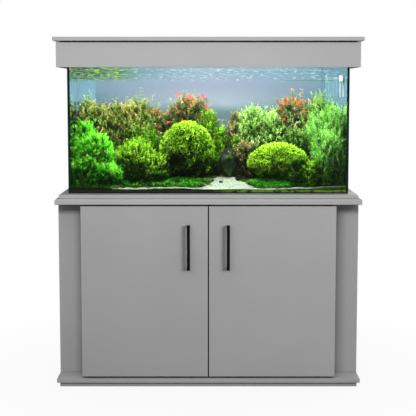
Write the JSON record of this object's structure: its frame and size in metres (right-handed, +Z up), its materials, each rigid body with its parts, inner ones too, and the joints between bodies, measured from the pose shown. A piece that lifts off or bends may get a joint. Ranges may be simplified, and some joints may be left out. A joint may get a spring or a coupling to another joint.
{
  "type": "aquarium on stand",
  "caption": "Rectangular glass aquarium with planted ground under a lift-off hood with hinged lid, on a painted cabinet stand with overlay doors and bar handles.",
  "frame": {"origin": "centre of the footprint of the whole object, on the floor", "axes": "+X to the right seen from the front, -Y towards the viewer and the doors, +Z up"},
  "size_m": [1.32, 0.604, 1.5162],
  "materials": {
    "painted_board": "satin light grey paint on smooth board",
    "handle_black": "fine matt black",
    "hinge_steel": "plated steel",
    "foam_mat": "closed-cell foam sheet",
    "tank_glass": "clear float glass with dark green edges",
    "background_film": "blue-grey film",
    "substrate": "pale sand over dark soil",
    "stone": "dark rough rock",
    "moss": "dense living moss",
    "leaf_green": "bright green leaves",
    "leaf_olive": "olive and brown leaves",
    "leaf_red": "red tipped leaves",
    "clear_pipe": "clear tube",
    "white_plastic": "gloss white",
    "light_housing": "satin anodised"
  },
  "bodies": {
    "cabinet": {"plinth_front": "painted_board", "plinth_back": "painted_board", "plinth_left": "painted_board", "plinth_right": "painted_board", "base_board": "painted_board", "left_side_panel": "painted_board", "right_side_panel": "painted_board", "left_pilaster": "painted_board", "right_pilaster": "painted_board", "left_hinge_upright": "painted_board", "right_hinge_upright": "painted_board", "centre_divider": "painted_board", "back_panel": "painted_board", "cornice_lower_board": "painted_board", "cornice_upper_board": "painted_board", "left_low_hinge_arm": "hinge_steel", "left_high_hinge_arm": "hinge_steel", "right_low_hinge_arm": "hinge_steel", "right_high_hinge_arm": "hinge_steel", "foam_mat": "foam_mat", "tank_front_glass": "tank_glass", "tank_back_glass": "tank_glass", "tank_left_glass": "tank_glass", "tank_right_glass": "tank_glass", "tank_bottom_glass": "tank_glass", "tank_front_brace": "tank_glass", "tank_back_brace": "tank_glass", "background_film": "background_film", "substrate": "substrate", "centre_rock": "stone", "moss_ball": "moss", "moss_mound": "moss", "front_left_bush": "leaf_green", "middle_left_bush": "leaf_green", "pale_bush": "leaf_green", "tall_right_plants": "leaf_green", "back_left_plants": "leaf_olive", "red_plants_left": "leaf_red", "red_plants_right": "leaf_red", "filter_return_pipe": "clear_pipe", "gas_diffuser": "white_plastic"},
    "left_door": {"left_door": "painted_board", "left_handle": "handle_black", "left_low_hinge_cup": "hinge_steel", "left_high_hinge_cup": "hinge_steel"},
    "right_door": {"right_door": "painted_board", "right_handle": "handle_black", "right_low_hinge_cup": "hinge_steel", "right_high_hinge_cup": "hinge_steel"},
    "hood": {"hood_front_panel": "painted_board", "hood_back_rail": "painted_board", "hood_left_side": "painted_board", "hood_right_side": "painted_board", "hood_left_ledge": "painted_board", "hood_right_ledge": "painted_board", "hood_fixed_top": "painted_board", "light_unit": "light_housing", "lid_hinge_fixed_leaf": "hinge_steel"},
    "lid": {"lid": "painted_board", "lid_hinge_moving_leaf": "hinge_steel"}
  },
  "joints": [
    {"name": "left_door_hinge", "type": "hinge", "parent": "cabinet", "child": "left_door", "pos_m": [-0.55, -0.254, 0.42], "axis": [0, 0, -1], "range_deg": [0, 110]},
    {"name": "right_door_hinge", "type": "hinge", "parent": "cabinet", "child": "right_door", "pos_m": [0.55, -0.254, 0.42], "axis": [0, 0, 1], "range_deg": [0, 110]},
    {"name": "hood_lift", "type": "slide", "parent": "cabinet", "child": "hood", "axis": [0, 0, 1], "range_m": [0, 0.2]},
    {"name": "lid_hinge", "type": "hinge", "parent": "hood", "child": "lid", "pos_m": [0, 0.11, 1.51362], "axis": [-1, 0, 0], "range_deg": [0, 100]}
  ]
}
